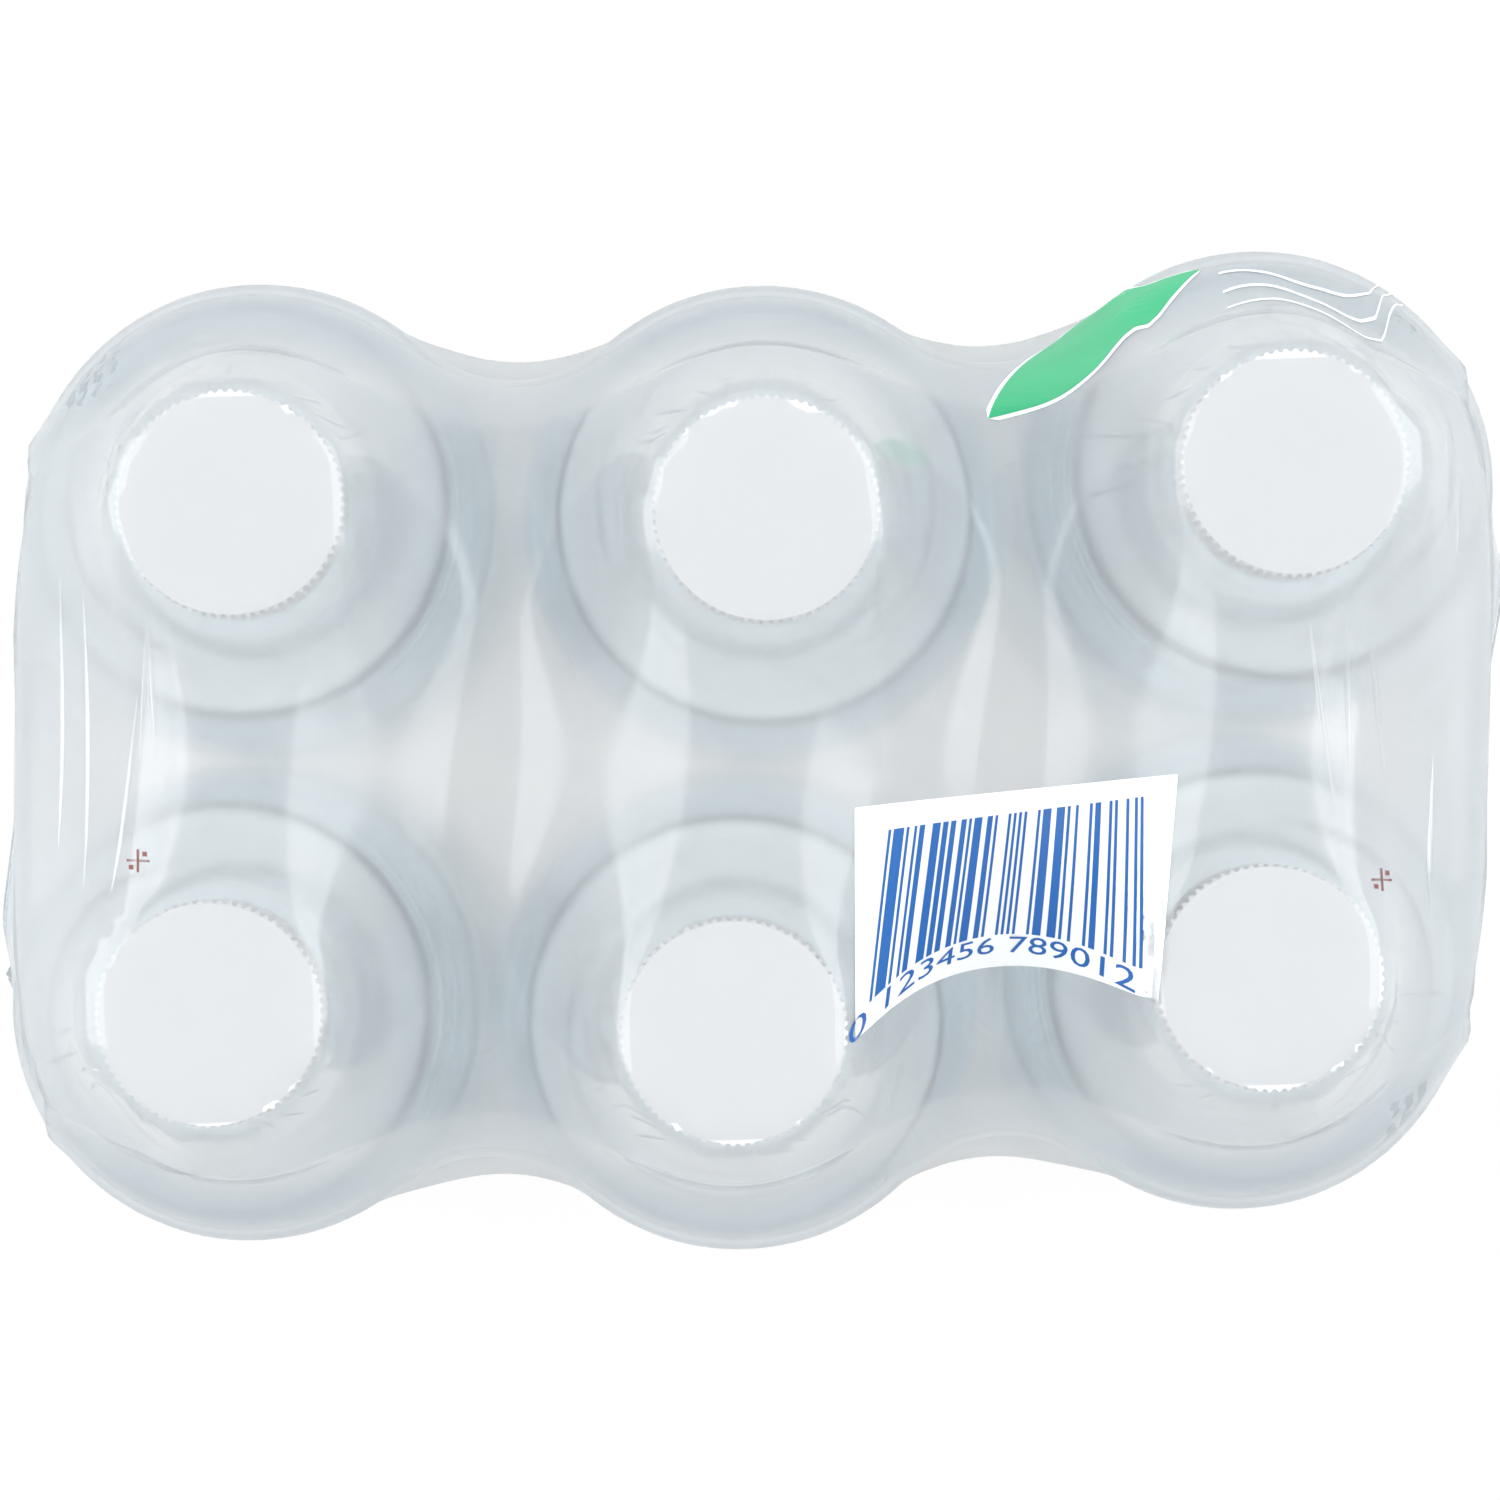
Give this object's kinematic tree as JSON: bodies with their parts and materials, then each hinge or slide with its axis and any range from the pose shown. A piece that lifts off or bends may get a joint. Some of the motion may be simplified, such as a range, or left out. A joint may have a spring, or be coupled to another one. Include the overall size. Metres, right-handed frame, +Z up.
{
  "type": "six pack of water bottles",
  "caption": "Two rows of round drink bottles with knurled screw caps, held together by a sleeve of shrink film that leaves an opening in each short end for the fingers.",
  "frame": {"origin": "middle of the rectangle that the pack stands on, at the underside of the film", "axes": "+X along the rows, +Y from the front row to the back row, +Z up along the bottles"},
  "size_m": [0.2036, 0.1344, 0.2066],
  "materials": {
    "bottle": "clear, pale blue, glossy",
    "water": "clear liquid",
    "label": "printed film",
    "cap": "white, satin",
    "film": "milky clear, satin"
  },
  "bodies": {
    "root": {"bottle_1": "bottle", "bottle_2": "bottle", "bottle_3": "bottle", "bottle_4": "bottle", "bottle_5": "bottle", "bottle_6": "bottle", "water_1": "water", "water_2": "water", "water_3": "water", "water_4": "water", "water_5": "water", "water_6": "water", "label_1": "label", "label_2": "label", "label_3": "label", "label_4": "label", "label_5": "label", "label_6": "label", "cap_1": "cap", "cap_2": "cap", "cap_3": "cap", "cap_4": "cap", "cap_5": "cap", "cap_6": "cap", "film_wrap": "film"}
  },
  "joints": []
}
